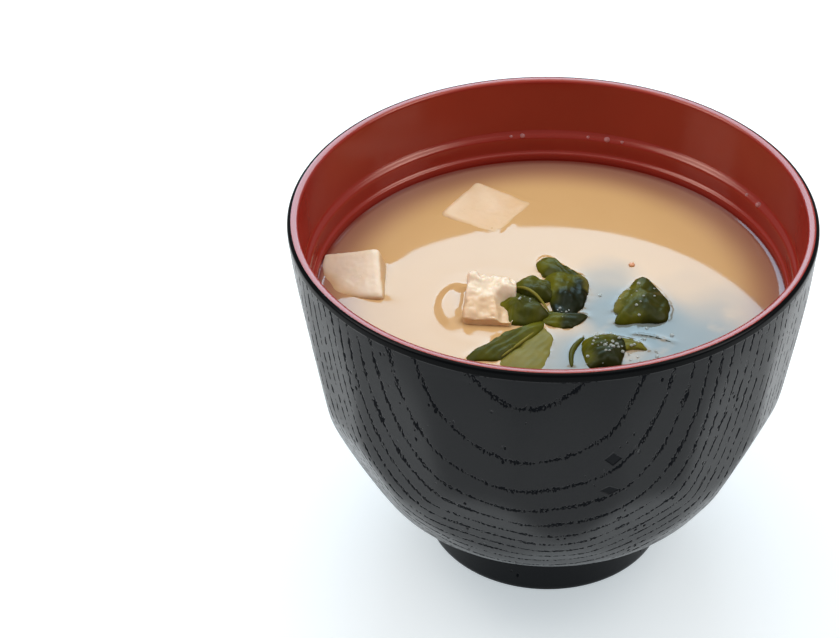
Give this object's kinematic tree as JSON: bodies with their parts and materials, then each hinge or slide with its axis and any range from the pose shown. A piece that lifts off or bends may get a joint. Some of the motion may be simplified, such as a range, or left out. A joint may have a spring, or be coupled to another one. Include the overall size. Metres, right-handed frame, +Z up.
{
  "type": "bowl of miso soup",
  "caption": "Miso soup with blocks of tofu and floating wakame, in a carved black lacquer bowl with a red inside and a round foot.",
  "frame": {"origin": "centre of the underside of the foot ring", "axes": "+Z up, along the axis of the bowl; -Y towards the diner"},
  "size_m": [0.11, 0.11, 0.084],
  "materials": {
    "bowl_lacquer": "gloss lacquer, black with a raised grain outside and red inside",
    "broth": "wet, cloudy broth",
    "tofu": "soft satin, fine pores",
    "wakame": "wet, slightly see-through seaweed"
  },
  "bodies": {
    "root": {"bowl": "bowl_lacquer", "broth": "broth", "tofu_left": "tofu", "tofu_back": "tofu", "tofu_centre": "tofu", "wakame_leaf": "wakame", "wakame_curl": "wakame", "wakame_strip": "wakame", "wakame_right": "wakame", "wakame_front": "wakame"}
  },
  "joints": []
}
